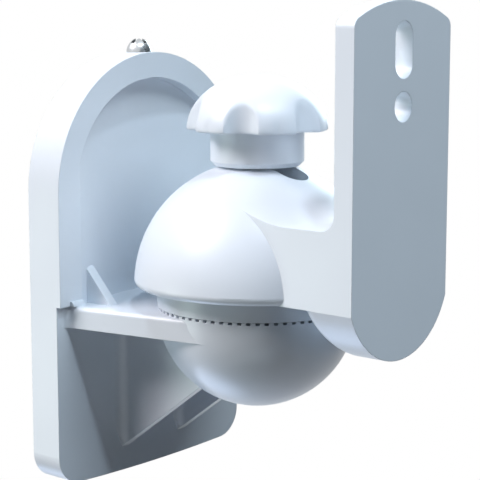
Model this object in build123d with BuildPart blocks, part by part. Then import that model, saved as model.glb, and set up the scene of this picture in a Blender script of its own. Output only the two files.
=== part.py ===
"""Speaker wall bracket: a moulded wall cover with a shelf and bowl, a swivelling hub on the bowl's
notched ring, and a tilting dome that carries the speaker plate, clamped by one hand knob.

Millimetres. +Z is up, the wall is the plane y = 0 and the bracket stands out along -Y. The origin
lies on the wall, behind the centre of the cover's arch.
"""

import os
from math import acos, asin, atan2, cos, degrees, radians, sin, sqrt

from build123d import *

os.makedirs("parts", exist_ok=True)

# Wall cover: arch, side wall and raised rim
cover_width = 55.0
cover_drop = 59.8
cover_depth = 8.7
bottom_bow = 0.8
bottom_corner = 6.0
side_wall = 2.2
face_wall = 2.2
rim_stand = 1.1
rim_width = 5.2

# Niche in the cover's face, a shallow upright hollow behind the dome
niche_half_width = 21.6
niche_depth = 4.1
niche_wall = 1.9

# Shelf that carries the bowl
shelf_top = -22.3
shelf_thickness = 4.4
shelf_half_width = 24.8
shelf_edge_round = 0.9
shelf_flare = 1.5
shelf_flare_round = 1.35
rim_toe = 1.0

# Gussets above the shelf and webs below it
gusset_outer = 19.4
gusset_thickness = 2.2
gusset_height = 7.2
gusset_reach = 5.7
web_centre = 8.6
web_thickness = 2.0
web_foot = -54.6
web_slope = 0.74
web_flare = 2.3
web_flare_run = 5.5

# Bowl and the swivel axis
swivel_reach = 36.4
bowl_radius = 19.9
bowl_wall = 2.4
ring_lip = 0.5
notch_count = 72
notch_width = 0.8
notch_height = 0.45
post_radius = 7.2
post_top = -30.0
post_floor = 2.6

# Pivot bolt, set into the bowl's post
bolt_radius = 3.0
bolt_head_flats = 10.0
bolt_head_height = 4.0
bolt_tip_sink = 0.1
bolt_tip_chamfer = 0.6

# Swivel hub and its spring
tilt_height = -17.6
hub_ball_step = 1.8
hub_wall = 2.4
hub_tube_wall = 3.2
hub_tube_bottom = 7.4
spigot_depth = 2.6
groove_half_width = 6.2
groove_depth = 1.8
spring_wire = 1.0
spring_radius = 4.9
spring_turns = 7
spring_washer_thickness = 0.8
spring_washer_radius = 6.2

# Dome, neck and speaker plate: one moulding
dome_wall = 2.4
dome_rim_drop = 0.3
dome_rim_round = 1.5
slot_half_angle = 21.5
rail_half_angle = 36.0
plate_thickness = 4.1
plate_width = 30.5
plate_top = 37.9
plate_top_radius = 32.85
plate_top_corner = 2.0
plate_bottom_radius = 16.42
plate_bottom_centre = -11.84
neck_top = -3.1
neck_plate_fillet = 3.0
neck_dome_fillet = 11.0
neck_bowl_gap = 2.2
neck_foot_depth = 3.65
neck_foot_round_share = 0.55
hole_width = 5.6
hole_height = 18.7
slot_height = 29.0
slot_length = 10.4

# Clamp above the dome: collar, washer, knob and nut
collar_radius = 9.25
collar_chamfer = 0.9
collar_skirt = 0.85
collar_height = 7.95
washer_radius = 6.0
washer_thickness = 1.6
knob_radius = 13.9
knob_skirt = 1.05
knob_rise = 10.9
knob_lobes = 6
knob_lobe_angle = 56.5
knob_flute_radius = 4.0
knob_flute_floor = 11.7
knob_flute_round = 0.6
knob_gap = 0.95
nut_flats = 10.0
nut_height = 5.0
nut_tip_room = 1.5

# Wall plate hidden behind the cover, and its lock screw
wall_plate_thickness = 2.0
wall_plate_gap = 0.3
tab_thickness = 1.5
tab_width = 13.0
tab_reach = 7.0
hook_reach = 5.0
hook_width = 16.0
hook_thickness = 1.5
wall_hole_radius = 2.25
wall_hole_head_radius = 4.1
wall_hole_spacing = 30.0
wall_hole_upper = 6.0
wall_hole_lower = -44.0
peg_radius = 0.9
peg_gap = 0.15
peg_depth = 3.4
peg_height = 2.6
peg_spacing = 10.0
screw_radius = 1.5
screw_length = 4.0
screw_head_radius = 2.65
screw_head_height = 2.95
screw_recess_depth = 1.7
screw_recess_span = 3.9
screw_recess_width = 0.95
screw_tip_chamfer = 0.4

# Clearances
running_fit = 0.1
ball_gap = 0.3
flat_gap = 0.05
side_gap = 0.2
set_fit = 0.02
thread_gap = 0.05

# Working values: how far joined shapes sink into each other, cuts run past a face, and the
# tolerance used to pick an edge or a corner
sink = 0.5
overcut = 1.0
pick = 0.02

# Sizes that follow from the ones above
arch_radius = cover_width / 2
lower_face = cover_depth - rim_stand
shelf_bottom = shelf_top - shelf_thickness
niche_radius = arch_radius - rim_width
niche_cylinder = (niche_half_width**2 + niche_depth**2) / (2 * niche_depth)
recess_depth = cover_depth - niche_depth - niche_wall
ring_top = shelf_top + ring_lip
bowl_centre = ring_top - notch_height
bowl_inner = bowl_radius - bowl_wall
shelf_nose_radius = sqrt(bowl_radius**2 - (shelf_bottom - bowl_centre) ** 2)
bolt_foot = bowl_centre - bowl_radius + post_floor
bolt_hole = bolt_radius + running_fit
hub_ball_radius = bowl_radius + hub_ball_step
groove_radius = hub_ball_radius - groove_depth
dome_inner = hub_ball_radius + ball_gap
dome_radius = dome_inner + dome_wall
dome_rim = tilt_height - dome_rim_drop
slot_half_width = bolt_radius + side_gap
rail_half_width = groove_half_width - side_gap
rail_radius = groove_radius + ball_gap
neck_bowl_radius = dome_radius + neck_bowl_gap
plate_back = swivel_reach + neck_bowl_radius + neck_foot_depth
neck_edge_round = neck_foot_round_share * neck_foot_depth
seat_radius = dome_radius + side_gap
head_seat = sqrt(arch_radius**2 - screw_head_radius**2)
screw_depth = cover_depth / 2
hub_bottom = ring_top + flat_gap
hub_shoulder = tilt_height + sqrt(hub_ball_radius**2 - bowl_radius**2)
hub_tube_radius = bolt_hole + hub_tube_wall
hub_tube_end = tilt_height + hub_tube_bottom
spigot_radius = bowl_inner - ball_gap
cavity_radius = groove_radius - hub_wall
spring_washer_top = hub_tube_end - flat_gap
collar_bottom = tilt_height + dome_radius - collar_skirt
collar_top = collar_bottom + collar_height
knob_bottom = collar_top - knob_skirt
washer_top = collar_top + washer_thickness
knob_seat = washer_top + flat_gap
bolt_tip = knob_seat + nut_height - bolt_tip_sink
bolt_length = bolt_tip - bolt_foot - bolt_head_height
wall_plate_inset = side_wall + wall_plate_gap
quarter_round_reach = 4 * (sqrt(2) - 1) / 3
slot_angle = radians(slot_half_angle)
rail_angle = radians(rail_half_angle)
slot_span = 2 * dome_radius * sin(slot_angle)
slot_rise = 2 * dome_radius * cos(slot_angle)
rail_span = 2 * dome_radius * sin(rail_angle)
rail_rise = 2 * dome_radius * cos(rail_angle)

# Where the shelf's straight sides run into the bowl, as a tangent from the shelf's root corner
shelf_run = swivel_reach - lower_face
root_distance = sqrt(shelf_half_width**2 + shelf_run**2)
nose_turn = atan2(shelf_run, shelf_half_width) - acos(shelf_nose_radius / root_distance)
nose_tangent_x = shelf_nose_radius * cos(nose_turn)
nose_tangent_y = -swivel_reach + shelf_nose_radius * sin(nose_turn)

swivel_axis = Axis((0, -swivel_reach, 0), (0, 0, 1))
axis_point = (0, -swivel_reach)
screw_axis = Axis((0, -screw_depth, 0), (0, 0, 1))


def cover_outline(inset):
    """The cover's outline seen from the front, drawn in by inset."""
    half = arch_radius
    corner_level = -(cover_drop - bottom_bow)
    with BuildSketch() as outline:
        with BuildLine():
            ThreePointArc((-half, 0), (0, half), (half, 0))
            Line((half, 0), (half, corner_level))
            ThreePointArc((half, corner_level), (0, -cover_drop), (-half, corner_level))
            Line((-half, corner_level), (-half, 0))
        make_face()
        fillet(outline.vertices().group_by(Axis.Y)[0], bottom_corner)
        if inset > 0:
            offset(amount=-inset, mode=Mode.REPLACE)
    return outline.sketch


def plate_outline():
    """The speaker plate's outline seen from the front."""
    half = plate_width / 2
    shoulder = plate_top - plate_top_radius + sqrt(plate_top_radius**2 - half**2)
    hip = plate_bottom_centre - sqrt(plate_bottom_radius**2 - half**2)
    with BuildSketch() as outline:
        with BuildLine():
            ThreePointArc((-half, shoulder), (0, plate_top), (half, shoulder))
            Line((half, shoulder), (half, hip))
            ThreePointArc((half, hip), (0, plate_bottom_centre - plate_bottom_radius), (-half, hip))
            Line((-half, hip), (-half, shoulder))
        make_face()
        fillet(outline.vertices().group_by(Axis.Y)[-1], plate_top_corner)
    return outline.sketch


# Space of the niche: an arch from the front, a shallow round back from above
with BuildPart() as niche_space:
    with BuildSketch(Plane.XY.offset(shelf_top)):
        with Locations((0, -cover_depth + niche_depth - niche_cylinder)):
            Circle(niche_cylinder)
        with Locations((0, 0)):
            Rectangle(cover_width, 2 * (cover_depth + rim_stand), mode=Mode.INTERSECT)
    extrude(amount=arch_radius - shelf_top)
    with BuildSketch(Plane.XZ):
        Circle(niche_radius)
        with Locations((0, shelf_top / 2)):
            Rectangle(2 * niche_radius, -shelf_top)
    extrude(amount=2 * cover_depth, mode=Mode.INTERSECT)

# Shelf: straight sides that run tangent into the bowl, flared where they meet the cover
with BuildPart() as shelf:
    with BuildSketch(Plane.XY.offset(shelf_bottom)) as shelf_plan:
        with Locations(axis_point):
            Circle(shelf_nose_radius)
        with BuildLine():
            Polyline(
                (-shelf_half_width, -lower_face),
                (shelf_half_width, -lower_face),
                (nose_tangent_x, nose_tangent_y),
                (-nose_tangent_x, nose_tangent_y),
                close=True,
            )
        make_face()
        with Locations((0, -lower_face + face_wall / 2)):
            Rectangle(2 * (shelf_half_width + shelf_flare), face_wall)
        shelf_roots = shelf_plan.vertices().filter_by(
            lambda v: abs(v.Y + lower_face) < pick and abs(v.X) < shelf_half_width + pick
        )
        fillet(shelf_roots, shelf_flare_round)
    extrude(amount=shelf_thickness)
    shelf_rim = shelf.edges().group_by(Axis.Z)[-1]
    free_rim = shelf_rim.filter_by(lambda e: e.center().Y < -lower_face - shelf_flare)
    fillet(free_rim, shelf_edge_round)

# Web under the shelf: a triangle seen from the side, with a flare at the cover that fades out
# towards the web's foot
with BuildPart() as shelf_web:
    with BuildSketch(Plane.XY.offset(web_foot)) as web_plan:
        with Locations((web_centre, -(lower_face + swivel_reach) / 2)):
            Rectangle(web_thickness, swivel_reach - lower_face)
        with Locations((web_centre, -lower_face + face_wall / 4)):
            Rectangle(web_thickness + 2 * web_flare, face_wall / 2)
        flare_roots = web_plan.vertices().filter_by(
            lambda v: abs(v.Y + lower_face) < pick and abs(v.X - web_centre) < web_thickness
        )
        fillet(flare_roots, web_flare - pick)
    extrude(amount=shelf_bottom + overcut - web_foot)
    with BuildSketch(Plane.YZ):
        with BuildLine():
            Polyline(
                (-lower_face + face_wall, web_foot - overcut),
                (-lower_face, web_foot),
                (-swivel_reach, web_foot + web_slope * (swivel_reach - lower_face)),
                (-swivel_reach, shelf_bottom + overcut),
                (-lower_face + face_wall, shelf_bottom + overcut),
                close=True,
            )
        make_face()
    extrude(amount=cover_width, both=True, mode=Mode.INTERSECT)
    web_half = web_thickness / 2
    flare_half = web_half + web_flare
    with BuildSketch(Plane.XZ):
        with BuildLine():
            Polyline(
                (web_centre - web_half, web_foot),
                (web_centre + web_half, web_foot),
                (web_centre + flare_half, web_foot + web_flare_run),
                (web_centre + flare_half, shelf_bottom + overcut),
                (web_centre - flare_half, shelf_bottom + overcut),
                (web_centre - flare_half, web_foot + web_flare_run),
                close=True,
            )
        make_face()
    extrude(amount=swivel_reach, mode=Mode.INTERSECT)

# Cover, shelf, bowl and webs: one moulding
with BuildPart() as base_moulding:
    with BuildSketch(Plane.XZ):
        add(cover_outline(0))
    extrude(amount=lower_face)
    with BuildSketch(Plane.XZ.offset(lower_face)):
        add(cover_outline(0))
        with Locations((0, shelf_top + cover_width / 2)):
            Rectangle(cover_width, cover_width, mode=Mode.INTERSECT)
    extrude(amount=rim_stand)
    with BuildSketch(Plane.XZ):
        add(cover_outline(side_wall))
    extrude(amount=recess_depth, mode=Mode.SUBTRACT)
    with BuildSketch(Plane.XZ):
        add(cover_outline(side_wall))
        with Locations((0, shelf_bottom - cover_drop / 2)):
            Rectangle(cover_width, cover_drop, mode=Mode.INTERSECT)
    extrude(amount=lower_face - face_wall, mode=Mode.SUBTRACT)
    add(niche_space.part, mode=Mode.SUBTRACT)

    add(shelf.part)

    toe_run = shelf_half_width - niche_half_width
    for side in (-1, 1):
        with BuildSketch(Plane.YZ.offset(side * (niche_half_width + toe_run / 2))):
            with BuildLine():
                Line((-cover_depth + sink, shelf_top), (-cover_depth - rim_toe, shelf_top))
                RadiusArc(
                    (-cover_depth - rim_toe, shelf_top),
                    (-cover_depth, shelf_top + rim_toe),
                    rim_toe,
                )
                Polyline(
                    (-cover_depth, shelf_top + rim_toe),
                    (-cover_depth + sink, shelf_top + rim_toe),
                    (-cover_depth + sink, shelf_top),
                )
            make_face()
        extrude(amount=toe_run / 2, both=True)
        with BuildSketch(Plane.YZ.offset(side * (gusset_outer - gusset_thickness / 2))):
            with BuildLine():
                Polyline(
                    (-lower_face + sink, shelf_top - sink),
                    (-lower_face + sink, shelf_top + gusset_height),
                    (-lower_face, shelf_top + gusset_height),
                    (-cover_depth - gusset_reach, shelf_top),
                    (-cover_depth - gusset_reach, shelf_top - sink),
                    close=True,
                )
            make_face()
        extrude(amount=gusset_thickness / 2, both=True)

    with BuildSketch(Plane.XZ.offset(swivel_reach)):
        with BuildLine():
            Line((0, ring_top), (bowl_radius, ring_top))
            Line((bowl_radius, ring_top), (bowl_radius, bowl_centre))
            RadiusArc((bowl_radius, bowl_centre), (0, bowl_centre - bowl_radius), bowl_radius)
            Line((0, bowl_centre - bowl_radius), (0, ring_top))
        make_face()
    revolve(axis=swivel_axis)
    add(shelf_web.part)
    add(mirror(shelf_web.part, about=Plane.YZ, mode=Mode.PRIVATE))
    with BuildSketch(Plane.XZ.offset(swivel_reach)):
        with BuildLine():
            Line((0, ring_top + overcut), (bowl_inner, ring_top + overcut))
            Line((bowl_inner, ring_top + overcut), (bowl_inner, bowl_centre))
            RadiusArc((bowl_inner, bowl_centre), (0, bowl_centre - bowl_inner), bowl_inner)
            Line((0, bowl_centre - bowl_inner), (0, ring_top + overcut))
        make_face()
    revolve(axis=swivel_axis, mode=Mode.SUBTRACT)
    with BuildSketch(Plane.XY.offset(bolt_foot - post_floor / 4)):
        with Locations(axis_point):
            Circle(post_radius)
    extrude(amount=post_top - bolt_foot + post_floor / 4)
    with BuildSketch(Plane.XY.offset(bolt_foot - set_fit)):
        with Locations(axis_point):
            RegularPolygon(bolt_head_flats / 2 + set_fit, 6, major_radius=False)
    extrude(amount=bolt_head_height + 2 * set_fit, mode=Mode.SUBTRACT)
    with BuildSketch(Plane.XY.offset(bolt_foot + bolt_head_height)):
        with Locations(axis_point):
            Circle(bolt_radius + set_fit)
    extrude(amount=post_top - bolt_foot, mode=Mode.SUBTRACT)
    with Locations((0, -swivel_reach, ring_top)):
        with PolarLocations(bowl_radius - bowl_wall / 2, notch_count):
            Box(
                2 * bowl_wall,
                notch_width,
                notch_height,
                align=(Align.CENTER, Align.CENTER, Align.MAX),
                mode=Mode.SUBTRACT,
            )

    tab_level = arch_radius - side_wall
    with Locations((0, 0, tab_level)):
        Box(
            tab_width + 2 * wall_plate_gap,
            2 * (tab_reach + wall_plate_gap),
            tab_thickness + 2 * wall_plate_gap,
            align=(Align.CENTER, Align.CENTER, Align.MAX),
            mode=Mode.SUBTRACT,
        )
    with BuildSketch(Plane.XY.offset(tab_level - wall_plate_gap)):
        with Locations((0, -screw_depth)):
            Circle(screw_radius + side_gap)
    extrude(amount=arch_radius, mode=Mode.SUBTRACT)
    with BuildSketch(Plane.XY.offset(head_seat)):
        with Locations((0, -screw_depth)):
            Circle(screw_head_radius + side_gap)
    extrude(amount=arch_radius, mode=Mode.SUBTRACT)
    with BuildSketch(Plane.XY.offset(-cover_drop + side_wall / 2)):
        with Locations((0, -peg_depth)):
            with GridLocations(peg_spacing, 0, 2, 1):
                Circle(peg_radius)
    extrude(amount=side_wall / 2 + peg_height)
base_moulding.part.label = "base_moulding"
export_step(base_moulding.part, "parts/base_moulding.step")

# Wall plate: steel sheet inside the cover's back, a tab at the top and a hook at the bottom
with BuildPart() as wall_plate:
    with BuildSketch(Plane.XZ):
        add(cover_outline(wall_plate_inset))
        with Locations((0, (wall_hole_upper + wall_hole_lower) / 2)):
            with GridLocations(wall_hole_spacing, wall_hole_upper - wall_hole_lower, 2, 2):
                Circle(wall_hole_radius, mode=Mode.SUBTRACT)
    extrude(amount=wall_plate_thickness)
    with Locations((0, -wall_plate_thickness / 2, arch_radius - wall_plate_inset)):
        Box(
            tab_width,
            tab_reach - wall_plate_thickness / 2,
            tab_thickness,
            align=(Align.CENTER, Align.MAX, Align.MAX),
        )
    with Locations((0, -wall_plate_thickness / 2, -cover_drop + wall_plate_inset + bottom_bow / 4)):
        Box(
            hook_width,
            hook_reach - wall_plate_thickness / 2,
            hook_thickness,
            align=(Align.CENTER, Align.MAX, Align.MIN),
        )
    with BuildSketch(Plane.XY.offset(arch_radius - wall_plate_inset - 2 * tab_thickness)):
        with Locations((0, -screw_depth)):
            Circle(screw_radius + thread_gap)
    extrude(amount=3 * tab_thickness, mode=Mode.SUBTRACT)
    with BuildSketch(Plane.XY.offset(-cover_drop)):
        with Locations((0, -peg_depth)):
            with GridLocations(peg_spacing, 0, 2, 1):
                Circle(peg_radius + peg_gap)
    extrude(amount=side_wall + 3 * hook_thickness, mode=Mode.SUBTRACT)
    sink_edges = wall_plate.edges().filter_by(
        lambda e: e.geom_type == GeomType.CIRCLE
        and abs(e.radius - wall_hole_radius) < pick
        and abs(e.center().Y + wall_plate_thickness) < pick
    )
    chamfer(sink_edges, wall_hole_head_radius - wall_hole_radius)
wall_plate.part.label = "wall_plate"
export_step(wall_plate.part, "parts/wall_plate.step")

# Lock screw: round head with a cross recess, upright on top of the arch
with BuildPart() as lock_screw:
    head_crown = head_seat + screw_head_height
    with BuildSketch(Plane.XZ.offset(screw_depth)):
        with BuildLine():
            Bezier(
                (screw_head_radius, head_seat),
                (screw_head_radius, head_seat + quarter_round_reach * screw_head_height),
                (quarter_round_reach * screw_head_radius, head_crown),
                (0, head_crown),
            )
            Polyline((0, head_crown), (0, head_seat), (screw_head_radius, head_seat))
        make_face()
    revolve(axis=screw_axis)
    with Locations((0, -screw_depth, head_crown)):
        for length, width in (
            (screw_recess_span, screw_recess_width),
            (screw_recess_width, screw_recess_span),
        ):
            Box(length, width, 2 * screw_recess_depth, mode=Mode.SUBTRACT)
    with BuildSketch(Plane.XY.offset(head_seat)):
        with Locations((0, -screw_depth)):
            Circle(screw_radius)
    extrude(amount=-screw_length)
    chamfer(lock_screw.edges().group_by(Axis.Z)[0], screw_tip_chamfer)
lock_screw.part.label = "lock_screw"
export_step(lock_screw.part, "parts/lock_screw.step")

# Pivot bolt: hex head held in the bowl's post, shank up through hub, dome, collar and knob
with BuildPart() as pivot_bolt:
    with BuildSketch(Plane.XY.offset(bolt_foot)):
        with Locations(axis_point):
            RegularPolygon(bolt_head_flats / 2, 6, major_radius=False)
    extrude(amount=bolt_head_height)
    with BuildSketch(Plane.XY.offset(bolt_foot + bolt_head_height)):
        with Locations(axis_point):
            Circle(bolt_radius)
    extrude(amount=bolt_length)
    chamfer(pivot_bolt.edges().group_by(Axis.Z)[-1], bolt_tip_chamfer)
pivot_bolt.part.label = "pivot_bolt"
export_step(pivot_bolt.part, "parts/pivot_bolt.step")

# Spring round the bolt, between the post and the washer under the hub
spring_foot = post_top + spring_wire / 2
spring_height = spring_washer_top - spring_washer_thickness - spring_wire / 2 - spring_foot
with BuildPart() as hub_spring:
    with BuildLine() as coil:
        Helix(
            pitch=spring_height / spring_turns,
            height=spring_height,
            radius=spring_radius,
            center=(0, -swivel_reach, spring_foot),
        )
    with BuildSketch(Plane(origin=coil.line @ 0, z_dir=coil.line % 0)):
        Circle(spring_wire / 2 - set_fit)
    sweep(path=coil.line, is_frenet=True)
hub_spring.part.label = "hub_spring"
export_step(hub_spring.part, "parts/hub_spring.step")

# Washer between the spring and the foot of the hub's tube
with BuildPart() as spring_washer:
    with BuildSketch(Plane.XY.offset(spring_washer_top)):
        with Locations(axis_point):
            Circle(spring_washer_radius)
            Circle(bolt_hole, mode=Mode.SUBTRACT)
    extrude(amount=-spring_washer_thickness)
spring_washer.part.label = "spring_washer"
export_step(spring_washer.part, "parts/spring_washer.step")

# Swivel hub: stands on the notched ring, with a spigot inside it and a ball under the dome
with BuildPart() as swivel_hub:
    shoulder_angle = degrees(asin((hub_shoulder - tilt_height) / hub_ball_radius))
    with BuildSketch(Plane.XZ.offset(swivel_reach)):
        with BuildLine():
            ball = CenterArc(
                (0, tilt_height), hub_ball_radius, shoulder_angle, 90 - shoulder_angle
            )
            Polyline(
                ball @ 1,
                (0, hub_bottom - spigot_depth),
                (spigot_radius, hub_bottom - spigot_depth),
                (spigot_radius, hub_bottom),
                (bowl_radius, hub_bottom),
                ball @ 0,
            )
        make_face()
    revolve(axis=swivel_axis)
    hollow_foot = hub_bottom + hub_wall
    hollow_low_angle = degrees(asin((hollow_foot - tilt_height) / cavity_radius))
    hollow_top_angle = degrees(acos(hub_tube_radius / cavity_radius))
    with BuildSketch(Plane.XZ.offset(swivel_reach)):
        with BuildLine():
            hollow = CenterArc(
                (0, tilt_height),
                cavity_radius,
                hollow_low_angle,
                hollow_top_angle - hollow_low_angle,
            )
            Polyline(
                hollow @ 1,
                (hub_tube_radius, hub_tube_end),
                (0, hub_tube_end),
                (0, hub_bottom - 2 * spigot_depth),
                (spigot_radius - hub_wall, hub_bottom - 2 * spigot_depth),
                (spigot_radius - hub_wall, hollow_foot),
                hollow @ 0,
            )
        make_face()
    revolve(axis=swivel_axis, mode=Mode.SUBTRACT)
    with BuildSketch(Plane.YZ):
        with Locations((-swivel_reach, tilt_height)):
            Circle(dome_radius)
            Circle(groove_radius, mode=Mode.SUBTRACT)
        with Locations((-swivel_reach, hub_shoulder)):
            Rectangle(
                2 * dome_radius,
                dome_radius,
                align=(Align.CENTER, Align.MIN),
                mode=Mode.INTERSECT,
            )
    extrude(amount=groove_half_width, both=True, mode=Mode.SUBTRACT)
    with BuildSketch(Plane.XY.offset(hub_bottom)):
        with Locations(axis_point):
            Circle(bolt_hole)
    extrude(amount=dome_radius + hub_ball_radius, mode=Mode.SUBTRACT)
swivel_hub.part.label = "swivel_hub"
export_step(swivel_hub.part, "parts/swivel_hub.step")

# Lower end of the neck: the plate's round foot carried back to a clearance round the bowl
with BuildPart() as neck_foot:
    with BuildSketch(Plane.XZ.offset(swivel_reach)):
        add(plate_outline())
        with Locations((0, dome_rim + side_gap)):
            Rectangle(
                2 * plate_width, plate_width, align=(Align.CENTER, Align.MAX), mode=Mode.INTERSECT
            )
    extrude(amount=plate_back - swivel_reach)
    with BuildSketch(Plane.XY.offset(plate_bottom_centre - 2 * plate_bottom_radius)):
        with Locations(axis_point):
            Circle(neck_bowl_radius)
    extrude(amount=2 * plate_bottom_radius, mode=Mode.SUBTRACT)
    foot_edges = neck_foot.edges().filter_by(
        lambda e: e.geom_type not in (GeomType.LINE, GeomType.CIRCLE)
    )
    fillet(foot_edges, neck_edge_round)

# Blend between the neck's flat top and the dome: part of a ring of revolution
with BuildPart() as neck_blend:
    blend_level = neck_top + neck_dome_fillet - tilt_height
    blend_reach = sqrt((dome_radius + neck_dome_fillet) ** 2 - blend_level**2)
    blend_turn = degrees(atan2(blend_level, blend_reach))
    with BuildSketch(Plane.XZ.offset(swivel_reach)):
        with BuildLine():
            blend = CenterArc(
                (blend_reach, tilt_height + blend_level),
                neck_dome_fillet,
                180 + blend_turn,
                90 - blend_turn,
            )
            Polyline(
                blend @ 1,
                (blend_reach, neck_top - overcut),
                (blend_reach / 2, neck_top - overcut),
                blend @ 0,
            )
        make_face()
    revolve(axis=swivel_axis)
    with Locations((0, -swivel_reach, neck_top)):
        Box(
            plate_width,
            dome_radius + neck_dome_fillet,
            dome_radius,
            align=(Align.CENTER, Align.MAX, Align.CENTER),
            mode=Mode.INTERSECT,
        )

# Dome, neck and speaker plate: one moulding, with a guide rail inside the dome
with BuildPart() as arm_moulding:
    rim_angle = degrees(asin(dome_rim_drop / dome_radius))
    with BuildSketch(Plane.XZ.offset(swivel_reach)) as dome_profile:
        with BuildLine():
            ball = CenterArc((0, tilt_height), dome_radius, -rim_angle, 90 + rim_angle)
            Polyline(ball @ 1, (0, dome_rim), ball @ 0)
        make_face()
        fillet(dome_profile.vertices().sort_by(Axis.X)[-1], dome_rim_round)
    revolve(axis=swivel_axis)

    with BuildSketch(Plane.YZ):
        with BuildLine():
            Polyline(
                (-plate_back, neck_top + neck_plate_fillet),
                (-plate_back, dome_rim),
                (-swivel_reach, dome_rim),
                (-swivel_reach, neck_top),
                (-plate_back + neck_plate_fillet, neck_top),
            )
            RadiusArc(
                (-plate_back + neck_plate_fillet, neck_top),
                (-plate_back, neck_top + neck_plate_fillet),
                neck_plate_fillet,
            )
        make_face()
    extrude(amount=plate_width / 2, both=True)

    add(neck_blend.part)
    add(neck_foot.part)
    with Locations((0, -swivel_reach, tilt_height)):
        Sphere(dome_inner, mode=Mode.SUBTRACT)

    with BuildSketch(Plane.YZ):
        with Locations((-swivel_reach, tilt_height)):
            Circle((dome_inner + dome_radius) / 2)
            Circle(rail_radius, mode=Mode.SUBTRACT)
        with BuildLine():
            Polyline(
                (-swivel_reach, tilt_height),
                (-swivel_reach - rail_span, tilt_height + rail_rise),
                (-swivel_reach + rail_span, tilt_height + rail_rise),
                close=True,
            )
        make_face(mode=Mode.INTERSECT)
    extrude(amount=rail_half_width, both=True)

    with BuildSketch(Plane.YZ):
        with BuildLine():
            Polyline(
                (-swivel_reach, tilt_height),
                (-swivel_reach - slot_span, tilt_height + slot_rise),
                (-swivel_reach + slot_span, tilt_height + slot_rise),
                close=True,
            )
        make_face()
    extrude(amount=slot_half_width, both=True, mode=Mode.SUBTRACT)
    for side in (-1, 1):
        slot_end = Plane(
            origin=(0, -swivel_reach, tilt_height),
            x_dir=(1, 0, 0),
            z_dir=(0, side * sin(slot_angle), cos(slot_angle)),
        )
        with BuildSketch(slot_end):
            Circle(slot_half_width)
        extrude(amount=2 * dome_radius, mode=Mode.SUBTRACT)

    with BuildSketch(Plane.XZ.offset(plate_back)):
        add(plate_outline())
    extrude(amount=plate_thickness)
    with BuildSketch(Plane.XZ.offset(plate_back)):
        with Locations((0, hole_height)):
            Circle(hole_width / 2)
        with Locations((0, slot_height)):
            SlotOverall(slot_length, hole_width, rotation=90)
    extrude(amount=plate_thickness, mode=Mode.SUBTRACT)
arm_moulding.part.label = "arm_moulding"
export_step(arm_moulding.part, "parts/arm_moulding.step")

# Pressure collar: spherical seat on the dome, bright bevel round its foot
with BuildPart() as pressure_collar:
    with BuildSketch(Plane.XY.offset(collar_bottom)):
        with Locations(axis_point):
            Circle(collar_radius)
    extrude(amount=collar_top - collar_bottom)
    chamfer(pressure_collar.edges().group_by(Axis.Z)[0], collar_chamfer)
    with Locations((0, -swivel_reach, tilt_height)):
        Sphere(seat_radius, mode=Mode.SUBTRACT)
    with BuildSketch(Plane.XY.offset(collar_top)):
        with Locations(axis_point):
            Circle(bolt_hole)
    extrude(amount=-collar_top - dome_radius, mode=Mode.SUBTRACT)
pressure_collar.part.label = "pressure_collar"
export_step(pressure_collar.part, "parts/pressure_collar.step")

# Washer between the collar and the knob
with BuildPart() as clamp_washer:
    with BuildSketch(Plane.XY.offset(collar_top)):
        with Locations(axis_point):
            Circle(washer_radius)
            Circle(bolt_hole, mode=Mode.SUBTRACT)
    extrude(amount=washer_thickness)
clamp_washer.part.label = "clamp_washer"
export_step(clamp_washer.part, "parts/clamp_washer.step")

# Hand knob: half an ellipsoid with upright flutes, hollow below, with a pocket for the nut
with BuildPart() as knob:
    with BuildSketch(Plane.XZ.offset(swivel_reach)):
        with BuildLine():
            for rise in (knob_rise, -knob_rise):
                Bezier(
                    (knob_radius, knob_bottom),
                    (knob_radius, knob_bottom + quarter_round_reach * rise),
                    (quarter_round_reach * knob_radius, knob_bottom + rise),
                    (0, knob_bottom + rise),
                )
            Line((0, knob_bottom + knob_rise), (0, knob_bottom - knob_rise))
        make_face()
    revolve(axis=swivel_axis)
    with BuildSketch(Plane.XY.offset(knob_bottom)):
        with Locations(axis_point):
            with PolarLocations(
                knob_flute_floor + knob_flute_radius,
                knob_lobes,
                start_angle=knob_lobe_angle + 180 / knob_lobes,
            ):
                Circle(knob_flute_radius)
    extrude(amount=knob_rise, both=True, mode=Mode.SUBTRACT)
    fillet(knob.edges().filter_by(GeomType.BSPLINE), knob_flute_round)
    with Locations((0, -swivel_reach, knob_bottom)):
        Box(
            3 * knob_radius,
            3 * knob_radius,
            2 * knob_rise,
            align=(Align.CENTER, Align.CENTER, Align.MAX),
            mode=Mode.SUBTRACT,
        )
    with BuildSketch(Plane.XY.offset(knob_bottom)):
        with Locations(axis_point):
            Circle(collar_radius + knob_gap)
    extrude(amount=knob_seat - knob_bottom, mode=Mode.SUBTRACT)
    with BuildSketch(Plane.XY.offset(knob_seat)):
        with Locations(axis_point):
            RegularPolygon(nut_flats / 2 + set_fit, 6, major_radius=False)
    extrude(amount=nut_height + set_fit, mode=Mode.SUBTRACT)
    with BuildSketch(Plane.XY.offset(knob_seat + nut_height)):
        with Locations(axis_point):
            Circle(bolt_hole)
    extrude(amount=nut_tip_room, mode=Mode.SUBTRACT)
knob.part.label = "knob"
export_step(knob.part, "parts/knob.step")

# Nut pressed into the knob
with BuildPart() as knob_nut:
    with BuildSketch(Plane.XY.offset(knob_seat)):
        with Locations(axis_point):
            RegularPolygon(nut_flats / 2, 6, major_radius=False)
            Circle(bolt_radius + thread_gap, mode=Mode.SUBTRACT)
    extrude(amount=nut_height)
knob_nut.part.label = "knob_nut"
export_step(knob_nut.part, "parts/knob_nut.step")
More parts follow.
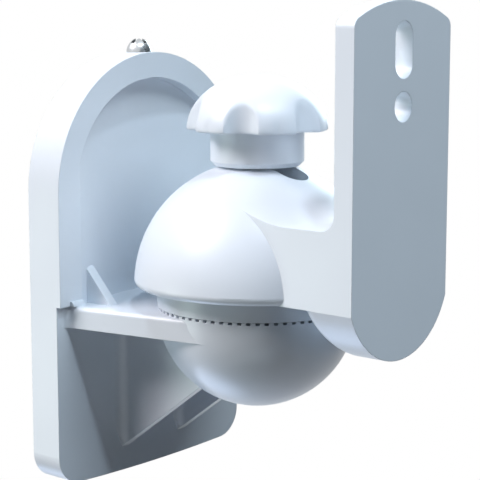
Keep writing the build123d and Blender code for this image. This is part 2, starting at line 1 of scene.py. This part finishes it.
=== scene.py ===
"""Dressing of the speaker wall bracket: moulded white ABS, plated steel fastenings and a studio.

Metres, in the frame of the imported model: the wall is the plane y = 0 and the bracket stands out
along -Y. The cover, shelf, bowl, hub, dome and collar keep their solids and get a finish. The hand
knob and the pivot bolt are made here, over the solids that stand for them.
"""

from math import asin, cos, pi, radians, sin

import bmesh
import bpy
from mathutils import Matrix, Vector


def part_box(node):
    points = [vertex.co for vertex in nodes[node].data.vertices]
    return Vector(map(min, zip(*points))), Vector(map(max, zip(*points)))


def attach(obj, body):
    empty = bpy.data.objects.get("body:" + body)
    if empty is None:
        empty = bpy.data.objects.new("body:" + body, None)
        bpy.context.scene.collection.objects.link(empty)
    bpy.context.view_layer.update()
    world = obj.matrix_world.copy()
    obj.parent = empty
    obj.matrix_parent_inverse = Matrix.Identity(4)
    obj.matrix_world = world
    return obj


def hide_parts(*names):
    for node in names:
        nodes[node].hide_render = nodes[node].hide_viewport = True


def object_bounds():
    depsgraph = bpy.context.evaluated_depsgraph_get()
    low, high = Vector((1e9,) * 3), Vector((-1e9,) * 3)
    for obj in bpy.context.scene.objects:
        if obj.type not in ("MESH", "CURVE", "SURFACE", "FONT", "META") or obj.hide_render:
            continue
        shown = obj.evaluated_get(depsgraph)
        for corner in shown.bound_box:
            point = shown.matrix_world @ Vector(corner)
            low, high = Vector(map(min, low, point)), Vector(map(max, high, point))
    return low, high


bl_info = {
    "name": "Speaker wall bracket dressing",
    "version": (1, 0, 0),
    "blender": (4, 5, 0),
    "location": "View3D > Sidebar > Bracket",
    "description": "Finishes, hand knob, threaded bolt, lights and camera of a wall bracket",
    "category": "Object",
}

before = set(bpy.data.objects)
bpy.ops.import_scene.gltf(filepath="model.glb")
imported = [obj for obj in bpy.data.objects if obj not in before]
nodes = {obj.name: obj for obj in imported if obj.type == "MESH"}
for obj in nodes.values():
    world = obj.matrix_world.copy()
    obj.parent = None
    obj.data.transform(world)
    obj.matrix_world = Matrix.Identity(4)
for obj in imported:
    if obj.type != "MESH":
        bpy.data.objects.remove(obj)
cad_low, cad_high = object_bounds()
knob_low, knob_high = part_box("knob")
bolt_low, bolt_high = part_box("pivot_bolt")
nut_low, nut_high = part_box("knob_nut")
axis_x = (bolt_low.x + bolt_high.x) / 2
axis_y = (bolt_low.y + bolt_high.y) / 2
MM = 0.001

# The bolt is an M6. The nut is pressed into the knob, with room round the bolt and over its tip
BOLT_RADIUS = 3.0 * MM
PRESS_FIT = 0.02 * MM
BOLT_ROOM = 0.1 * MM
TIP_ROOM = 1.4 * MM

# Inset of the rows of the knob's hollow, which tells the flutes to leave them alone
HOLLOW_MARK = -1.0 * MM

# The part of a noise's range that it mostly keeps to, and the whole range
MIDDLE = (0.3, 0.7)
WHOLE = (0.0, 1.0)


def to_linear(code):
    """A colour written as sRGB hex, as linear red, green, blue and alpha."""
    channels = [int(code[i : i + 2], 16) / 255 for i in (1, 3, 5)]
    return [c / 12.92 if c <= 0.04045 else ((c + 0.055) / 1.055) ** 2.4 for c in channels] + [1.0]


def add_node(tree, kind, settings=(), inputs=(), links=()):
    """Adds a node, sets its properties and inputs, and links other sockets into it."""
    node = tree.nodes.new(kind)
    for name, value in dict(settings).items():
        setattr(node, name, value)
    for key, value in dict(inputs).items():
        node.inputs[key].default_value = value
    for key, socket in dict(links).items():
        tree.links.new(socket, node.inputs[key])
    return node


def new_material(name):
    """An empty material and its node tree."""
    material = bpy.data.materials.new(name)
    material.use_nodes = True
    material.node_tree.nodes.clear()
    return material, material.node_tree


def colour_property(name, description, code):
    """A colour that the user can change, with its default as sRGB hex."""
    return bpy.props.FloatVectorProperty(
        name=name, description=description, subtype="COLOR", size=4, min=0, max=1,
        default=to_linear(code),
    )


def length_property(name, description, millimetres):
    """A length that the user can change, with its default in millimetres."""
    return bpy.props.FloatProperty(
        name=name, description=description, unit="LENGTH", min=0, default=millimetres * MM
    )


class BracketSizes(bpy.types.PropertyGroup):
    """Sizes of the pieces that are made here"""

    flute_count: bpy.props.IntProperty(
        name="Knob flutes", description="Number of finger flutes round the knob", min=3, default=6
    )
    flute_radius: length_property("Flute radius", "Radius of one upright flute", 4.0)
    flute_floor: length_property("Flute floor", "Distance from the knob's axis to a flute", 11.7)
    flute_softness: length_property("Flute softness", "How far a flute's edge is rounded off", 0.8)
    flute_turn: bpy.props.FloatProperty(
        name="Flute turn", description="Turn of the first flute about the knob's axis",
        unit="ROTATION", default=radians(86.5),
    )
    knob_edge: length_property("Knob edge", "Rounding of the knob's lower edge", 0.5)
    knob_cavity: length_property("Knob cavity", "Radius of the hollow over the collar", 10.2)
    knob_cavity_depth: length_property("Cavity depth", "Height of the hollow over the collar", 2.7)
    thread_pitch: length_property("Thread pitch", "Rise of the bolt's thread in one turn", 1.0)
    thread_depth: length_property("Thread depth", "Depth of the bolt's thread", 0.55)
    thread_length: length_property("Thread length", "Threaded length at the bolt's top", 24.0)


class BracketColours(bpy.types.PropertyGroup):
    """Colours of the finishes and the floor"""

    plastic: colour_property("Plastic", "White ABS of the mouldings", "#E9F0F8")
    plating: colour_property("Plating", "Bright zinc on screw, bolt, nut and washers", "#BFC3C6")
    sheet: colour_property("Sheet", "Galvanised sheet of the wall plate", "#A9ADB0")
    wire: colour_property("Wire", "Drawn spring wire", "#8C8F93")
    floor: colour_property("Floor", "Studio floor", "#F2F3F4")


def noise(tree, place, size, detail):
    """Soft noise whose blotches are about that size in metres, from 0 to 1."""
    return add_node(
        tree, "ShaderNodeTexNoise", inputs={"Scale": 1 / size, "Detail": detail},
        links={"Vector": place},
    ).outputs["Fac"]


def remap(tree, value, source, target):
    """That value, taken from one range of numbers to another and held inside it."""
    limits = {
        "From Min": source[0], "From Max": source[1],
        "To Min": target[0], "To Max": target[1],
    }
    return add_node(
        tree, "ShaderNodeMapRange", inputs=limits, links={"Value": value}
    ).outputs["Result"]


def shaded(tree, colour, factor):
    """A colour made darker by a factor that varies over the surface."""
    return add_node(
        tree, "ShaderNodeVectorMath", {"operation": "SCALE"},
        inputs={0: list(colour)[:3]}, links={"Scale": factor},
    ).outputs["Vector"]


def moulded_abs(colour):
    """White ABS from a polished tool: smooth and mid-gloss, faintly uneven in sheen, with a very
    fine grain from the tool, and edges that catch a thin line of light."""
    material, tree = new_material("moulded white ABS")
    place = add_node(tree, "ShaderNodeTexCoord").outputs["Object"]
    flow = noise(tree, place, 14 * MM, 2)
    sheen = remap(tree, flow, MIDDLE, (0.3, 0.38))
    tone = shaded(tree, colour, remap(tree, flow, MIDDLE, (0.985, 1.0)))
    # Tool grain is about 0.05 mm across; drawn at 0.25 mm so that it shows at all
    grain = noise(tree, place, 0.25 * MM, 1)
    # A moulded edge is never quite sharp
    edge = add_node(
        tree, "ShaderNodeBevel", {"samples": 8}, inputs={"Radius": 0.2 * MM}
    ).outputs["Normal"]
    relief = add_node(
        tree, "ShaderNodeBump", inputs={"Strength": 0.06, "Distance": 0.01 * MM},
        links={"Height": grain, "Normal": edge},
    ).outputs["Normal"]
    skin = add_node(
        tree, "ShaderNodeBsdfPrincipled", inputs={"IOR": 1.54},
        links={"Base Color": tone, "Roughness": sheen, "Normal": relief},
    ).outputs["BSDF"]
    add_node(tree, "ShaderNodeOutputMaterial", links={"Surface": skin})
    return material


def plated_steel(colour):
    """Bright zinc plate on cold-headed steel: a clear reflection, softened by fine marks and duller
    patches, with painted shade that darkens the colour towards black in corners and recesses."""
    material, tree = new_material("bright zinc plated steel")
    place = add_node(tree, "ShaderNodeTexCoord").outputs["Object"]
    polish = remap(tree, noise(tree, place, 1.2 * MM, 3), MIDDLE, (0.26, 0.36))
    marks = noise(tree, place, 0.2 * MM, 2)
    relief = add_node(
        tree, "ShaderNodeBump", inputs={"Strength": 0.03, "Distance": 0.01 * MM},
        links={"Height": marks},
    ).outputs["Normal"]
    # Painted shade: ambient occlusion darkens the plating almost to black in corners and recesses
    painted_recess_shade = add_node(
        tree, "ShaderNodeAmbientOcclusion", {"samples": 8, "only_local": True},
        inputs={"Distance": 1.2 * MM},
    ).outputs["AO"]
    # Painted shade: the plating colour is scaled down where the occlusion finds a recess
    tone = shaded(tree, colour, remap(tree, painted_recess_shade, (0.45, 0.85), (0.04, 1.0)))
    skin = add_node(
        tree, "ShaderNodeBsdfPrincipled", inputs={"Metallic": 1.0},
        links={"Base Color": tone, "Roughness": polish, "Normal": relief},
    ).outputs["BSDF"]
    add_node(tree, "ShaderNodeOutputMaterial", links={"Surface": skin})
    return material


def galvanised_sheet(colour):
    """Hot-dip galvanised sheet: flat grey spangle crystals a few millimetres across, each with its
    own dullness."""
    material, tree = new_material("galvanised steel sheet")
    place = add_node(tree, "ShaderNodeTexCoord").outputs["Object"]
    spangle = add_node(
        tree, "ShaderNodeTexVoronoi", inputs={"Scale": 1 / (4 * MM)}, links={"Vector": place}
    ).outputs["Color"]
    level = add_node(tree, "ShaderNodeSeparateColor", links={"Color": spangle}).outputs["Red"]
    polish = remap(tree, level, WHOLE, (0.32, 0.52))
    tone = shaded(tree, colour, remap(tree, level, WHOLE, (0.86, 1.0)))
    skin = add_node(
        tree, "ShaderNodeBsdfPrincipled", inputs={"Metallic": 1.0},
        links={"Base Color": tone, "Roughness": polish},
    ).outputs["BSDF"]
    add_node(tree, "ShaderNodeOutputMaterial", links={"Surface": skin})
    return material


def drawn_wire(colour):
    """Drawn spring wire: dull dark steel with die lines too fine to see one by one."""
    material, tree = new_material("drawn spring wire")
    place = add_node(tree, "ShaderNodeTexCoord").outputs["Object"]
    polish = remap(tree, noise(tree, place, 0.3 * MM, 3), WHOLE, (0.3, 0.5))
    skin = add_node(
        tree, "ShaderNodeBsdfPrincipled",
        inputs={"Base Color": list(colour), "Metallic": 1.0}, links={"Roughness": polish},
    ).outputs["BSDF"]
    add_node(tree, "ShaderNodeOutputMaterial", links={"Surface": skin})
    return material


def finish_node(name, material):
    """Gives a solid of the frame its material and slot."""
    piece = nodes[name]
    piece.data.materials.clear()
    piece.data.materials.append(material)


made = {}


def shared(maker, colour):
    """The material of that maker, made once."""
    key = maker.__name__
    if key not in made:
        made[key] = maker(colour)
    return made[key]


def turned_mesh(name, rows, steps, attribute=None):
    """A closed body of revolution about the bolt's axis. Each row holds a radius, which may be a
    function of the turn, a height and a value for the attribute. The first and last rows lie on the
    axis."""
    body = bmesh.new()
    layer = body.verts.layers.float.new(attribute) if attribute else None
    rings = []
    for radius, height, value in rows:
        ring = []
        for step in range(steps):
            turn = 2 * pi * step / steps
            reach = radius(turn) if callable(radius) else radius
            vert = body.verts.new((axis_x + reach * cos(turn), axis_y + reach * sin(turn), height))
            if layer:
                vert[layer] = value
            ring.append(vert)
            if reach == 0:
                break
        rings.append(ring)
    for upper, lower in zip(rings, rings[1:]):
        for step in range(steps):
            after = (step + 1) % steps
            corners = [upper[step % len(upper)], lower[step % len(lower)],
                       lower[after % len(lower)], upper[after % len(upper)]]
            unique = list(dict.fromkeys(corners))
            if len(unique) > 2:
                body.faces.new(unique)
    bmesh.ops.recalc_face_normals(body, faces=body.faces)
    mesh = bpy.data.meshes.new(name)
    body.to_mesh(mesh)
    body.free()
    return mesh


def hexagon(flats):
    """Radius of a hexagon of that size across flats, by the turn from the corner on X."""
    return lambda turn: flats / 2 / cos(turn % (pi / 3) - pi / 6)


def flute_tree(sizes, material):
    """Geometry Nodes that press upright flutes into a turned knob blank. A point outside a flute's
    face goes inwards to it, and further by its edge_inset, which keeps the lower edge round."""
    tree = bpy.data.node_groups.new("Knob flutes", "GeometryNodeTree")
    face = tree.interface
    face.new_socket("Geometry", in_out="INPUT", socket_type="NodeSocketGeometry")
    for label, kind in (
        ("Count", "NodeSocketFloat"), ("Flute Radius", "NodeSocketFloat"),
        ("Flute Floor", "NodeSocketFloat"), ("Softness", "NodeSocketFloat"),
        ("Turn", "NodeSocketFloat"), ("Axis", "NodeSocketVector"),
    ):
        face.new_socket(label, in_out="INPUT", socket_type=kind)
    face.new_socket("Geometry", in_out="OUTPUT", socket_type="NodeSocketGeometry")
    given = add_node(tree, "NodeGroupInput").outputs

    def math(operation, *terms):
        node = add_node(tree, "ShaderNodeMath", {"operation": operation})
        for socket, term in zip(node.inputs, terms):
            if isinstance(term, (int, float)):
                socket.default_value = term
            else:
                tree.links.new(term, socket)
        return node.outputs[0]

    place = add_node(tree, "GeometryNodeInputPosition").outputs[0]
    offset = add_node(
        tree, "ShaderNodeVectorMath", {"operation": "SUBTRACT"}, links={0: place, 1: given["Axis"]}
    ).outputs["Vector"]
    split = add_node(tree, "ShaderNodeSeparateXYZ", links={0: offset}).outputs
    reach = math("SQRT", math("ADD", math("MULTIPLY", split["X"], split["X"]),
                              math("MULTIPLY", split["Y"], split["Y"])))
    turn = math("SUBTRACT", math("ARCTAN2", split["Y"], split["X"]), given["Turn"])
    half = math("DIVIDE", pi, given["Count"])
    across = math("WRAP", turn, half, math("MULTIPLY", half, -1))
    distance = math("ADD", given["Flute Floor"], given["Flute Radius"])
    side = math("MULTIPLY", distance, math("SINE", across))
    inside = math("SUBTRACT", math("MULTIPLY", given["Flute Radius"], given["Flute Radius"]),
                  math("MULTIPLY", side, side))
    flute = math("SUBTRACT", math("MULTIPLY", distance, math("COSINE", across)),
                 math("SQRT", math("MAXIMUM", inside, 0)))
    inset = add_node(
        tree, "GeometryNodeInputNamedAttribute", {"data_type": "FLOAT"},
        inputs={"Name": "edge_inset"},
    ).outputs["Attribute"]
    pressed = math("SMOOTH_MIN", math("ADD", reach, inset), flute, given["Softness"])
    fresh = math("SUBTRACT", pressed, inset)
    never_zero = math("MAXIMUM", reach, 0.001 * MM)
    ratio = math("DIVIDE", fresh, never_zero)
    moved = add_node(
        tree, "ShaderNodeCombineXYZ",
        links={0: math("MULTIPLY", split["X"], ratio), 1: math("MULTIPLY", split["Y"], ratio),
               2: split["Z"]},
    ).outputs[0]
    target = add_node(
        tree, "ShaderNodeVectorMath", {"operation": "ADD"}, links={0: moved, 1: given["Axis"]}
    ).outputs["Vector"]
    outer = math("GREATER_THAN", inset, HOLLOW_MARK / 2)
    placed = add_node(
        tree, "GeometryNodeSetPosition",
        links={"Geometry": given["Geometry"], "Selection": outer, "Position": target},
    ).outputs[0]
    solid = add_node(tree, "GeometryNodeRealizeInstances", links={0: placed}).outputs[0]
    coated = add_node(
        tree, "GeometryNodeSetMaterial", inputs={"Material": material}, links={"Geometry": solid}
    ).outputs[0]
    add_node(tree, "NodeGroupOutput", links={"Geometry": coated})
    values = {
        "Count": float(sizes.flute_count), "Flute Radius": sizes.flute_radius,
        "Flute Floor": sizes.flute_floor, "Softness": sizes.flute_softness,
        "Turn": sizes.flute_turn, "Axis": (axis_x, axis_y, 0.0),
    }
    return tree, values


def thread_tree(sizes, root, length, material):
    """Geometry Nodes that wind a screw thread: a three-cornered section along a spiral at the
    thread's root, so its crest stands out by the depth."""
    tree = bpy.data.node_groups.new("Bolt thread", "GeometryNodeTree")
    face = tree.interface
    face.new_socket("Geometry", in_out="INPUT", socket_type="NodeSocketGeometry")
    for label in ("Root Radius", "Pitch", "Depth", "Length"):
        face.new_socket(label, in_out="INPUT", socket_type="NodeSocketFloat")
    face.new_socket("Geometry", in_out="OUTPUT", socket_type="NodeSocketGeometry")
    given = add_node(tree, "NodeGroupInput").outputs
    turns = add_node(
        tree, "ShaderNodeMath", {"operation": "DIVIDE"},
        links={0: given["Length"], 1: given["Pitch"]},
    ).outputs[0]
    spiral = add_node(
        tree, "GeometryNodeCurveSpiral", inputs={"Resolution": 40},
        links={"Rotations": turns, "Start Radius": given["Root Radius"],
               "End Radius": given["Root Radius"], "Height": given["Length"]},
    ).outputs[0]
    section = add_node(
        tree, "GeometryNodeCurvePrimitiveCircle", inputs={"Resolution": 3},
        links={"Radius": given["Depth"]},
    ).outputs["Curve"]
    ridge = add_node(
        tree, "GeometryNodeCurveToMesh", inputs={"Fill Caps": True},
        links={"Curve": spiral, "Profile Curve": section},
    ).outputs[0]
    solid = add_node(tree, "GeometryNodeRealizeInstances", links={0: ridge}).outputs[0]
    coated = add_node(
        tree, "GeometryNodeSetMaterial", inputs={"Material": material}, links={"Geometry": solid}
    ).outputs[0]
    add_node(tree, "NodeGroupOutput", links={"Geometry": coated})
    values = {"Root Radius": root, "Pitch": sizes.thread_pitch, "Depth": sizes.thread_depth,
              "Length": length}
    return tree, values


def grown(name, mesh, tree, values, material, lift=(0, 0, 0)):
    """Runs a Geometry Nodes tree on a mesh, and keeps the result as a plain mesh object, moved by
    the lift."""
    source = bpy.data.objects.new(name + "_source", mesh)
    bpy.context.scene.collection.objects.link(source)
    modifier = source.modifiers.new(name, "NODES")
    modifier.node_group = tree
    for item in tree.interface.items_tree:
        if item.in_out == "INPUT" and item.name in values:
            modifier[item.identifier] = values[item.name]
    bpy.context.view_layer.update()
    result = bpy.data.meshes.new_from_object(
        source.evaluated_get(bpy.context.evaluated_depsgraph_get())
    )
    bpy.data.objects.remove(source)
    result.name = name
    for vert in result.vertices:
        vert.co += Vector(lift)
    result.materials.clear()
    result.materials.append(material)
    return new_piece(name, result)


def new_piece(name, mesh):
    """An object at the origin that shows that mesh."""
    piece = bpy.data.objects.new(name, mesh)
    bpy.context.scene.collection.objects.link(piece)
    return piece


def smooth_by_angle(piece, degrees):
    """Smooth shading, with sharp edges where faces meet at more than that angle."""
    mesh = piece.data
    mesh.polygons.foreach_set("use_smooth", [True] * len(mesh.polygons))
    mesh.set_sharp_from_angle(angle=radians(degrees))


class BRACKET_OT_mouldings(bpy.types.Operator):
    """Gives the fixed and swinging mouldings their white ABS"""

    bl_idname = "bracket.mouldings"
    bl_label = "Mouldings"

    def execute(self, context):
        plastic = shared(moulded_abs, context.scene.bracket_colours.plastic)
        for name in ("base_moulding", "swivel_hub", "arm_moulding", "pressure_collar"):
            finish_node(name, plastic)
        return {"FINISHED"}


class BRACKET_OT_knob(bpy.types.Operator):
    """Turns the knob's blank and presses its finger flutes"""

    bl_idname = "bracket.knob"
    bl_label = "Hand knob"

    def execute(self, context):
        sizes = context.scene.bracket_sizes
        plastic = shared(moulded_abs, context.scene.bracket_colours.plastic)
        rise = knob_high.z - knob_low.z
        radius = (knob_high.x - knob_low.x) / 2
        foot = knob_low.z
        edge = sizes.knob_edge
        crown_rows = 28
        edge_rows = 4
        start = asin(edge / rise)
        rows = [(0.0, foot + rise, 0.0)]
        for i in range(1, crown_rows + 1):
            turn = pi / 2 + (start - pi / 2) * i / crown_rows
            rows.append((radius * cos(turn), foot + rise * sin(turn), 0.0))
        brim = radius * cos(start)
        for i in range(1, edge_rows + 1):
            turn = pi / 2 * i / edge_rows
            inset = edge * (1 - cos(turn))
            rows.append((brim - inset, foot + edge * (1 - sin(turn)), inset))
        lip = 0.2 * MM
        cavity = sizes.knob_cavity
        roof = foot + sizes.knob_cavity_depth
        pocket = hexagon(nut_high.y - nut_low.y + 2 * PRESS_FIT)
        nut_top = nut_high.z + PRESS_FIT
        tip_hole = BOLT_RADIUS + BOLT_ROOM
        rows += [
            (cavity + lip, foot, HOLLOW_MARK),
            (cavity, foot + lip, HOLLOW_MARK),
            (cavity, roof, HOLLOW_MARK),
            (pocket, roof, HOLLOW_MARK),
            (pocket, nut_top, HOLLOW_MARK),
            (tip_hole, nut_top, HOLLOW_MARK),
            (tip_hole, nut_top + TIP_ROOM, HOLLOW_MARK),
            (0.0, nut_top + TIP_ROOM, HOLLOW_MARK),
        ]
        blank = turned_mesh("knob_blank", rows, steps=240, attribute="edge_inset")
        tree, values = flute_tree(sizes, plastic)
        knob = grown("hand_knob", blank, tree, values, plastic)
        smooth_by_angle(knob, degrees=40)
        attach(knob, "hand_knob")
        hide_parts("knob")
        return {"FINISHED"}


class BRACKET_OT_fastenings(bpy.types.Operator):
    """Plates the screw, washers and nut, and makes the bolt with its thread"""

    bl_idname = "bracket.fastenings"
    bl_label = "Fastenings"

    def execute(self, context):
        sizes = context.scene.bracket_sizes
        colours = context.scene.bracket_colours
        plated = shared(plated_steel, colours.plating)
        for name in ("lock_screw", "spring_washer", "clamp_washer", "knob_nut"):
            finish_node(name, plated)
        finish_node("hub_spring", shared(drawn_wire, colours.wire))
        flats = bolt_high.y - bolt_low.y
        root = BOLT_RADIUS - sizes.thread_depth
        top = bolt_high.z
        thread_foot = top - sizes.thread_length
        head_foot = bolt_low.z
        head_top = head_foot + 4.0 * MM
        bevel = 0.4 * MM
        neck_round = 0.25 * MM
        face_step = 0.05 * MM
        hexagonal = hexagon(flats)
        rows = [
            (0.0, top, 0), (root - bevel, top, 0), (root, top - bevel, 0),
            (root, thread_foot, 0), (BOLT_RADIUS, thread_foot - bevel, 0),
            (BOLT_RADIUS, head_top + neck_round, 0), (BOLT_RADIUS + neck_round, head_top, 0),
            (flats / 2 - 2 * face_step, head_top, 0), (flats / 2, head_top - face_step, 0),
            (hexagonal, head_top - bevel, 0), (hexagonal, head_foot + bevel, 0),
            (flats / 2, head_foot, 0), (0.0, head_foot, 0),
        ]
        shank = new_piece("pivot_bolt_shank", turned_mesh("pivot_bolt_shank", rows, steps=96))
        shank.data.materials.append(plated)
        smooth_by_angle(shank, degrees=30)
        length = sizes.thread_length - 3 * bevel
        tree, values = thread_tree(sizes, root, length, plated)
        empty = bpy.data.meshes.new("thread_seed")
        thread = grown(
            "pivot_bolt_thread", empty, tree, values, plated,
            lift=(axis_x, axis_y, thread_foot + bevel),
        )
        smooth_by_angle(thread, degrees=50)
        for piece in (shank, thread):
            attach(piece, "bracket")
        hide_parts("pivot_bolt")
        return {"FINISHED"}


class BRACKET_OT_wall_plate(bpy.types.Operator):
    """Gives the hidden wall plate its galvanised finish"""

    bl_idname = "bracket.wall_plate"
    bl_label = "Wall plate"

    def execute(self, context):
        sheet = shared(galvanised_sheet, context.scene.bracket_colours.sheet)
        finish_node("wall_plate", sheet)
        return {"FINISHED"}


def area_light(name, place, target, size, energy, colour):
    """A round lamp at that place, aimed at the target."""
    lamp = bpy.data.lights.new(name, "AREA")
    lamp.shape = "DISK"
    lamp.size = size
    lamp.energy = energy
    lamp.color = colour[:3]
    holder = bpy.data.objects.new(name, lamp)
    holder.location = place
    aim = Vector(target) - Vector(place)
    holder.rotation_euler = aim.to_track_quat("-Z", "Y").to_euler()
    bpy.context.scene.collection.objects.link(holder)


def flat_sheet(name, corners):
    """A studio sheet with those corners, linked to the scene."""
    mesh = bpy.data.meshes.new(name)
    mesh.from_pydata(corners, [], [tuple(range(len(corners)))])
    return new_piece(name, mesh)


def seen_directly(tree):
    """1 where the camera, a reflection or a clear material looks, and 0 for all other light."""
    path = add_node(tree, "ShaderNodeLightPath").outputs
    seen = path["Is Camera Ray"]
    for ray in ("Is Glossy Ray", "Is Transmission Ray"):
        seen = add_node(
            tree, "ShaderNodeMath", {"operation": "MAXIMUM"}, links={0: seen, 1: path[ray]}
        ).outputs[0]
    return seen


def studio_surface(name, colour):
    """Matt painted studio surface: pure white to the camera, its own pale colour to the part."""
    material, tree = new_material(name)
    matt = add_node(
        tree, "ShaderNodeBsdfPrincipled", inputs={"Base Color": list(colour), "Roughness": 0.9}
    ).outputs["BSDF"]
    glow = add_node(
        tree, "ShaderNodeEmission", inputs={"Color": (1, 1, 1, 1), "Strength": 1.0}
    ).outputs[0]
    mixed = add_node(
        tree, "ShaderNodeMixShader", links={0: seen_directly(tree), 1: matt, 2: glow}
    ).outputs[0]
    add_node(tree, "ShaderNodeOutputMaterial", links={"Surface": mixed})
    return material


def painted_reflection_material(name):
    """Painted reflection: a dim grey glowing sheet that only reflections show; it paints a dark
    side onto the plated screw.
    """
    material, tree = new_material(name)
    reflected_glow = add_node(
        tree, "ShaderNodeEmission", inputs={"Color": to_linear("#4A5157"), "Strength": 1.0}
    ).outputs[0]
    add_node(tree, "ShaderNodeOutputMaterial", links={"Surface": reflected_glow})
    return material


class BRACKET_OT_stage(bpy.types.Operator):
    """Lays the floor, sets the lights and places the camera"""

    bl_idname = "bracket.stage"
    bl_label = "Stage"

    def execute(self, context):
        scene = context.scene
        # The bracket hangs on a wall, so the floor is well below it
        level = cad_low.z - 1200 * MM
        reach = 8000 * MM
        corners = [
            (-reach, -reach, level), (reach, -reach, level),
            (reach, reach, level), (-reach, reach, level),
        ]
        floor = flat_sheet("studio_floor", corners)
        floor.data.materials.append(
            studio_surface("matt studio floor", scene.bracket_colours.floor)
        )

        centre = Vector((0, -30 * MM, 0))
        half = 900 * MM
        below = -400 * MM
        above = 700 * MM
        corners = [(-half, 0, below), (half, 0, below), (half, 0, above), (-half, 0, above)]
        # Painted reflection: a glowing grey sheet, hidden from the camera, diffuse light and
        # shadows, that darkens the reflections on one side of the part
        flag = flat_sheet("painted_reflection_sheet", corners)
        flag.location = centre + Vector((210 * MM, -450 * MM, 0))
        flag.rotation_euler = (0, 0, radians(25))
        flag.visible_camera = False
        flag.visible_diffuse = False
        flag.visible_shadow = False
        flag.data.materials.append(painted_reflection_material("painted dark reflection"))

        # Name, direction from the part, disc size, power in watts, colour
        lamps = (
            ("key", (-0.66, -1, 2.21), 70 * MM, 2.5, "#E0F1FF"),
            ("left top panel", (-0.8, 0.5, 0.9), 500 * MM, 7.8, "#FFF8FA"),
            ("left low panel", (-1, 0.9, -0.35), 400 * MM, 1.45, "#EBFFF8"),
            ("front top panel", (0.1, -1, 1.1), 500 * MM, 4.1, "#E8F6FF"),
            ("right fill", (1, 0.25, 0.3), 500 * MM, 4.0, "#E0F7FF"),
            ("floor bounce", (0, 0.6, -1), 500 * MM, 2.5, "#CCDEFF"),
        )
        lamp_distance = 900 * MM
        for name, way, size, power, colour in lamps:
            place = centre + Vector(way).normalized() * lamp_distance
            area_light(name, place, centre, size, power, to_linear(colour))

        world = bpy.data.worlds.new("studio")
        world.use_nodes = True
        tree = world.node_tree
        tree.nodes.clear()
        air = add_node(
            tree, "ShaderNodeBackground", inputs={"Color": to_linear("#E6F2FF"), "Strength": 0.02}
        ).outputs[0]
        white = add_node(
            tree, "ShaderNodeBackground", inputs={"Color": (1, 1, 1, 1), "Strength": 1.0}
        ).outputs[0]
        mixed = add_node(
            tree, "ShaderNodeMixShader", links={0: seen_directly(tree), 1: air, 2: white}
        ).outputs[0]
        add_node(tree, "ShaderNodeOutputWorld", links={"Surface": mixed})
        scene.world = world

        # The photograph's camera: left of the bracket, a little above it, looking slightly down
        look_down = 8.598
        look_right = 49.66
        lens = bpy.data.cameras.new("photo_view")
        lens.sensor_fit = "HORIZONTAL"
        lens.sensor_width = 36.0
        lens.lens = 113.62
        lens.clip_start = 10 * MM
        camera = bpy.data.objects.new("photo_view", lens)
        camera.location = (-228.67 * MM, -226.13 * MM, 35.89 * MM)
        camera.rotation_euler = (radians(90 - look_down), 0, radians(-look_right))
        scene.collection.objects.link(camera)
        scene.camera = camera
        scene.view_settings.view_transform = "Standard"
        return {"FINISHED"}


class BRACKET_PT_panel(bpy.types.Panel):
    """Lists the bracket's pieces and sizes"""

    bl_idname = "BRACKET_PT_panel"
    bl_label = "Speaker wall bracket"
    bl_space_type = "VIEW_3D"
    bl_region_type = "UI"
    bl_category = "Bracket"

    def draw(self, context):
        column = self.layout.column()
        for step in steps:
            column.operator(step.bl_idname)
        for group in (context.scene.bracket_sizes, context.scene.bracket_colours):
            for name in group.__annotations__:
                column.prop(group, name)


steps = (
    BRACKET_OT_mouldings,
    BRACKET_OT_knob,
    BRACKET_OT_fastenings,
    BRACKET_OT_wall_plate,
    BRACKET_OT_stage,
)
classes = (BracketSizes, BracketColours, *steps, BRACKET_PT_panel)


def register():
    """Adds the classes and the scene's two property groups"""
    for item in classes:
        bpy.utils.register_class(item)
    bpy.types.Scene.bracket_sizes = bpy.props.PointerProperty(type=BracketSizes)
    bpy.types.Scene.bracket_colours = bpy.props.PointerProperty(type=BracketColours)


def unregister():
    """Takes the classes and the property groups away again"""
    del bpy.types.Scene.bracket_colours
    del bpy.types.Scene.bracket_sizes
    for item in reversed(classes):
        bpy.utils.unregister_class(item)


def main():
    """Dresses the whole part"""
    register()
    bpy.ops.bracket.mouldings()
    bpy.ops.bracket.knob()
    bpy.ops.bracket.fastenings()
    bpy.ops.bracket.wall_plate()
    bpy.ops.bracket.stage()


if __name__ == "__main__":
    main()
